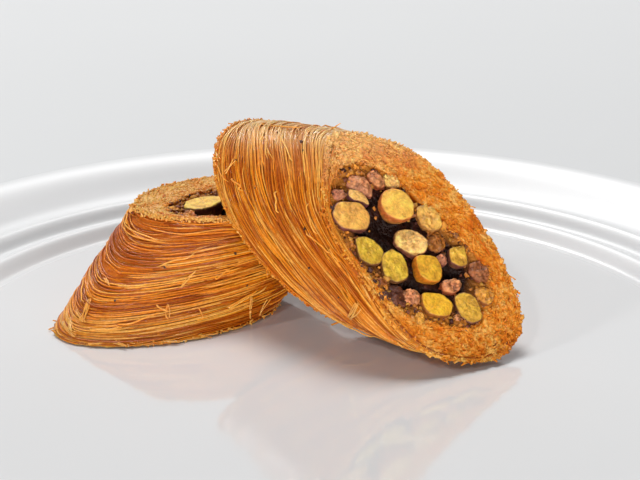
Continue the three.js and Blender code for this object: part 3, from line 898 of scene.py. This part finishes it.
def hidden_kernels(cut, heap, rng):
    """Kernels of the hidden cut face, on the solids' jittered grid."""
    draw = random_from(SEED_FRONT)
    for row in range(-HIDDEN_ROWS, HIDDEN_ROWS + 1):
        for across in range(-HIDDEN_COLUMNS, HIDDEN_COLUMNS + 1):
            half = 0.5 * math.fmod(row, 2)
            dx = (across + half) * HIDDEN_SPACING + next(draw) * HIDDEN_JITTER
            dy = row * HIDDEN_ROW_SPACING + next(draw) * HIDDEN_JITTER
            length = mix(*HIDDEN_SIZE, next(draw))
            turn = next(draw) * math.pi
            if math.hypot(dx / cut.hole_half_length, dy / cut.hole_half_width) < HIDDEN_REACH:
                x, y = cut.hole_centre[0] + dx, cut.hole_centre[1] + dy
                kind = HIDDEN_KINDS[int(rng.integers(0, len(HIDDEN_KINDS)))]
                radii = uneven(rng, length, length * HIDDEN_ROUNDNESS)
                kernel(cut, heap, rng, x, y, HIDDEN_PROUD, kind, radii, turn, False)


def paste_height(cut, points, share, upper):
    """How far the paste lies above its cut face: near it at the hole's edge, sunk at the cavities."""
    height = -0.75 - 0.5 * clamp((0.95 - share) / 0.3)
    height = height + layered(points, PASTE_LAYERS)
    if upper:
        for x, y, radius in cut.cavities:
            spot = slanted(cut, x, y, 1.0)
            far = np.linalg.norm(points[..., :2] - spot[:2], axis=-1)
            height = height - 2.0 * np.exp(-((far / radius) ** 2))
    return height


def paste(cut, heap, faces):
    """The dark nut paste and skins between the kernels."""
    around, rings = 180, 44
    phi = angles(around)
    share = np.linspace(1.06, 0.02, rings)[:, None]
    x, y = in_hole(cut, phi, share)
    for upper in faces:
        level, out = face_of(upper)
        points = slanted(cut, x, y, level)
        height = paste_height(cut, points, share, upper)
        # Darker the lower the paste lies: painted shade in the cavities, with random tone on top
        light = 0.62 + 0.42 * height + 0.35 * lumpy(points, 1.6, 5)
        edge = clamp((share - 0.7) / 0.3) + 0 * height
        tones = np.stack([clamp(light), edge, 0.5 + 0 * height], -1)
        quads = grid_faces(rings, around)
        cap = (rings - 1) * around + np.arange(around)
        way = 1 if upper else -1
        heap.add(points + out * height[..., None], quads[:, ::way], tones.reshape(-1, 3))
        heap.close(cap[::way])


def nut_crumbs(cut, heap, rng, upper, number):
    """Bits of broken nut and skin, most of them near the hole's edge."""
    level, out = face_of(upper)
    phi = rng.uniform(0, TAU, number)
    share = 1.04 - np.abs(rng.normal(0, 0.2, number))
    spots = slanted(cut, *in_hole(cut, phi, share), level)
    height = np.minimum(paste_height(cut, spots, share, upper) + 0.15, 0.1)
    keep = (height > -1.5) | (rng.uniform(0, 1, number) < 0.15)
    sizes = rng.lognormal(math.log(0.7), 0.35, number)
    picks = rng.integers(0, len(CRUMB_COLOURS), number)
    colours = np.array(CRUMB_COLOURS)[picks] * rng.uniform(0.7, 1.2, (number, 1))
    crumbs(heap, rng, (spots + out * height[:, None])[keep], sizes[keep], colours[keep])


def set_sockets(node, values):
    for socket, value in values.items():
        node.inputs[socket].default_value = value


def shader(name, sockets):
    """A new material with its node tree and its main shader, whose sockets are set."""
    material = bpy.data.materials.new(name)
    material.use_nodes = True
    tree = material.node_tree
    bsdf = tree.nodes["Principled BSDF"]
    set_sockets(bsdf, sockets)
    return material, tree, bsdf


def ramp(tree, stops, source):
    made = tree.nodes.new("ShaderNodeValToRGB")
    elements = made.color_ramp.elements
    while len(elements) < len(stops):
        elements.new(0.5)
    for element, (place, colour) in zip(elements, stops):
        element.position = place
        element.color = (*colour, 1)
    tree.links.new(source, made.inputs["Fac"])
    return made.outputs["Color"]


def noise_of(tree, scale, detail=3.0):
    """Noise over the object's own coordinates, in metres."""
    made = tree.nodes.new("ShaderNodeTexNoise")
    set_sockets(made, {"Scale": scale, "Detail": detail})
    place = tree.nodes.new("ShaderNodeTexCoord").outputs["Object"]
    tree.links.new(place, made.inputs["Vector"])
    return made.outputs["Fac"]


def blend(tree, kind, a, b, amount):
    """Mixes two colours; amount is a number or a socket."""
    made = tree.nodes.new("ShaderNodeMix")
    made.data_type = "RGBA"
    made.blend_type = kind
    for socket, value in ((made.inputs[0], amount), (made.inputs[6], a), (made.inputs[7], b)):
        if isinstance(value, bpy.types.NodeSocket):
            tree.links.new(value, socket)
        elif isinstance(value, tuple):
            socket.default_value = (*value, 1)
        else:
            socket.default_value = value
    return made.outputs[2]


def tone_of(tree):
    """The colour stored with the mesh, and its three tones."""
    stored = tree.nodes.new("ShaderNodeAttribute")
    stored.attribute_name = "tone"
    parts = tree.nodes.new("ShaderNodeSeparateColor")
    tree.links.new(stored.outputs["Color"], parts.inputs["Color"])
    return stored.outputs["Color"], parts.outputs


def bump(tree, bsdf, height, strength, distance):
    made = tree.nodes.new("ShaderNodeBump")
    set_sockets(made, {"Strength": strength, "Distance": distance})
    tree.links.new(height, made.inputs["Height"])
    tree.links.new(made.outputs["Normal"], bsdf.inputs["Normal"])
    tree.links.new(made.outputs["Normal"], bsdf.inputs["Coat Normal"])


def pastry_material(name, stops, roughness, gloss, grain, specked):
    """Baked pastry soaked in syrup; stops run from the darkest strands to the palest."""
    material, tree, bsdf = shader(name, {
        "Roughness": roughness, "Specular IOR Level": 0.15,
        "Subsurface Weight": 0.3, "Subsurface Radius": (1.0, 0.45, 0.15), "Subsurface Scale": 0.0008,
        "Coat Weight": gloss, "Coat Roughness": 0.06,
    })
    _, parts = tone_of(tree)
    base = ramp(tree, stops, parts["Red"])
    base = blend(tree, "MULTIPLY", base, ramp(tree, PATCHY_STOPS, noise_of(tree, 160)), 0.7)
    base = blend(tree, "MULTIPLY", base, ramp(tree, GRAINY_STOPS, noise_of(tree, 1300, 4.0)), specked)
    # Painted sheen: lighter and paler where the pastry faces up and at its top
    base = blend(tree, "MIX", base, (1.0, 0.62, 0.27), ramp(tree, PAINTED_SHEEN_STOPS, parts["Blue"]))
    # Painted shade in the gaps between strands, in the hole and in low grain
    base = blend(tree, "MULTIPLY", base, ramp(tree, PAINTED_SHADE_STOPS, parts["Green"]), 0.8)
    tree.links.new(base, bsdf.inputs["Base Color"])
    bump(tree, bsdf, noise_of(tree, grain, 2.0), strength=0.5, distance=0.0003)
    return material


def kernel_material():
    material, tree, bsdf = shader("pistachio_kernel", {
        "Roughness": 0.45, "Specular IOR Level": 0.35,
        "Subsurface Weight": 0.15, "Subsurface Radius": (1.0, 0.6, 0.15), "Subsurface Scale": 0.001,
    })
    colour, _ = tone_of(tree)
    mottle = ramp(tree, MOTTLE_STOPS, noise_of(tree, 700, 5.0))
    tree.links.new(blend(tree, "MULTIPLY", colour, mottle, 0.6), bsdf.inputs["Base Color"])
    bump(tree, bsdf, noise_of(tree, 1800, 4.0), strength=0.7, distance=0.0004)
    return material


def paste_material():
    material, tree, bsdf = shader("nut_skin_paste", {
        "Roughness": 0.45, "Specular IOR Level": 0.12, "Specular Tint": (1.0, 0.7, 0.55, 1),
        "Coat Weight": 0.15, "Coat Roughness": 0.12,
    })
    _, parts = tone_of(tree)
    base = blend(tree, "MIX", ramp(tree, PASTE_STOPS, parts["Red"]), (0.62, 0.22, 0.03), parts["Green"])
    tree.links.new(base, bsdf.inputs["Base Color"])
    bump(tree, bsdf, noise_of(tree, 1200, 4.0), strength=1.0, distance=0.0008)
    return material


def porcelain_material():
    """Clear glaze in the well that turns to satin over the ribs and the rim."""
    material, tree, bsdf = shader("white_porcelain", {"IOR": 1.7})
    tree.links.new(ramp(tree, PORCELAIN_STOPS, noise_of(tree, 12)), bsdf.inputs["Base Color"])
    from_middle = tree.nodes.new("ShaderNodeVectorMath")
    from_middle.operation = "LENGTH"
    place = tree.nodes.new("ShaderNodeTexCoord").outputs["Object"]
    tree.links.new(place, from_middle.inputs[0])
    satin = tree.nodes.new("ShaderNodeMapRange")
    set_sockets(satin, SATIN_RANGE)
    tree.links.new(from_middle.outputs["Value"], satin.inputs["Value"])
    tree.links.new(satin.outputs["Result"], bsdf.inputs["Roughness"])
    bump(tree, bsdf, noise_of(tree, 40, 2.0), strength=0.05, distance=0.001)
    return material


def plate_profile():
    """Radii and heights of the solid's section, from below to the middle of the well."""
    under = WELL_TOP - PLATE_WALL
    rim_top = WELL_TOP + RIM_LIFT
    lip_middle = PLATE_RADIUS - LIP_RADIUS
    profile = [
        (AXIS_RADIUS, under), (FOOT_INNER - FOOT_SLOPE, under), (FOOT_INNER, 0.3),
        (FOOT_INNER + 0.4, 0), (FOOT_OUTER - 0.4, 0), (FOOT_OUTER, 0.3),
        (FOOT_OUTER + FOOT_SLOPE, under), (RIM_START + 2, under),
        (lip_middle, rim_top - 2 * LIP_RADIUS),
    ]
    for angle in np.radians(np.linspace(-50, 90, 9)):
        height = rim_top - LIP_RADIUS + LIP_RADIUS * math.sin(angle)
        profile.append((lip_middle + LIP_RADIUS * math.cos(angle), height))
    for t in np.linspace(0.06, 1, 16):
        profile.append((mix(lip_middle, RIM_START, t), WELL_TOP + RIM_LIFT * bell(t)))
    for radius in reversed(RIB_RADII):
        for step in np.linspace(1, -1, 21):
            profile.append((radius + step * RIB_HALF_WIDTH, WELL_TOP + RIB_HEIGHT * bell(step)))
    return profile + [(40, WELL_TOP), (AXIS_RADIUS, WELL_TOP)]


def plate(material):
    """The plate, turned finely, with smooth ribs."""
    radii, heights = np.array(plate_profile()).T[..., None]
    angle = angles(PLATE_SEGMENTS)
    points = np.stack([radii * np.cos(angle), radii * np.sin(angle), heights + 0 * angle], -1)
    heap = Heap()
    heap.add_rings(points, (0.5, 0.5, 0.5))
    piece = heap.piece("plate_glazed", None, material, "porcelain")
    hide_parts("plate")


def dress(cut, seed, both_faces):
    """All the pieces of one slice."""
    rng = np.random.default_rng(seed)
    name = cut.name
    faces = (True, False) if both_faces else (True,)

    def wrap_piece(label, material, *fills):
        """A piece of the pastry, filled by the given functions, each with its own values."""
        heap = Heap()
        for fill, *values in fills:
            fill(cut, heap, rng, *values)
        piece = heap.piece(f"{name}_{label}", cut, MATERIALS[material], "pastry_strands")
        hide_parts(f"{name}_wrap")

    def filling_piece(label, heap):
        piece = heap.piece(f"{name}_{label}", cut, MATERIALS[label], "pistachio_filling")
        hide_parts(f"{name}_filling")

    wrap_piece("core", "crumb", (core,))
    wrap_piece("under_strands", "strand", (under_layer,))
    wrap_piece("strands", "strand", (bundles, 90), (flyaways, 30), (hairs,))
    for upper in faces:
        label = "upper" if upper else "lower"
        wrap_piece(f"{label}_grain", "crumb", (face_lumps, upper, GRAINS[label]))
        wrap_piece(
            f"{label}_edge", "crumb", (face_stubs, upper, 450), (rim_strands, upper, 120),
            (fringe, upper, FRINGE_CLUMPS[label], 130),
        )
    if not both_faces:
        wrap_piece("lower_edge", "crumb", (fringe, False, 130, 90))
    heap = Heap()
    for x, y, proud, kind, *size in cut.kernels:
        radii = uneven(rng, *size) if len(size) == 2 else size
        kernel(cut, heap, rng, x, y, proud, kind, radii, math.radians(cut.kernel_turn), True)
    if both_faces:
        hidden_kernels(cut, heap, rng)
    for upper in faces:
        nut_crumbs(cut, heap, rng, upper, 700)
    specks(cut, heap, rng)
    filling_piece("kernels", heap)
    heap = Heap()
    paste(cut, heap, faces)
    filling_piece("paste", heap)


def area_light(name, place, size, power):
    """A light of the given width and height that faces the plate."""
    data = bpy.data.lights.new(name, "AREA")
    data.shape = "RECTANGLE"
    data.size, data.size_y = size
    data.energy = power
    lamp = add_object(name, data)
    lamp.location = place
    aim = Vector((0, 0.02, 0.02)) - Vector(place)
    lamp.rotation_euler = aim.to_track_quat("-Z", "Y").to_euler()


def floor():
    mesh = bpy.data.meshes.new("floor")
    half = 6.0
    corners = [(-half, -half, 0), (half, -half, 0), (half, half, 0), (-half, half, 0)]
    mesh.from_pydata(corners, [], [(0, 1, 2, 3)])
    material, tree, bsdf = shader("pale_floor", {"Roughness": 0.6})
    tree.links.new(ramp(tree, FLOOR_STOPS, noise_of(tree, 3)), bsdf.inputs["Base Color"])
    mesh.materials.append(material)
    piece = add_object("floor", mesh)


def studio():
    world = bpy.data.worlds.new("studio")
    world.use_nodes = True
    background = world.node_tree.nodes["Background"]
    set_sockets(background, {"Color": (0.95, 0.975, 1.0, 1), "Strength": 0.06})
    scene = bpy.context.scene
    scene.world = world
    scene.view_settings.view_transform = "Standard"
    for light in LIGHTS:
        area_light(*light)


def camera():
    data = bpy.data.cameras.new("camera")
    data.sensor_width = SENSOR
    data.lens = SENSOR / 2 / math.tan(math.radians(FIELD_OF_VIEW) / 2)
    data.dof.use_dof = False
    made = add_object("camera", data)
    lift = math.radians(ELEVATION)
    back = Vector((0, -math.cos(lift), math.sin(lift)))
    made.location = (Vector(TARGET) + back * DISTANCE) * MM
    made.rotation_euler = (-back).to_track_quat("-Z", "Y").to_euler()
    bpy.context.scene.camera = made


MATERIALS = {
    "strand": pastry_material("strand_pastry", STRAND_STOPS, 0.4, 0.5, grain=900, specked=0.4),
    "crumb": pastry_material("cut_pastry", CRUMB_STOPS, 0.5, 0.2, grain=2500, specked=0.5),
    "kernels": kernel_material(),
    "paste": paste_material(),
}

camera()
studio()
floor()
plate(porcelain_material())
dress(FRONT, seed=3, both_faces=True)
dress(BACK, seed=5, both_faces=False)
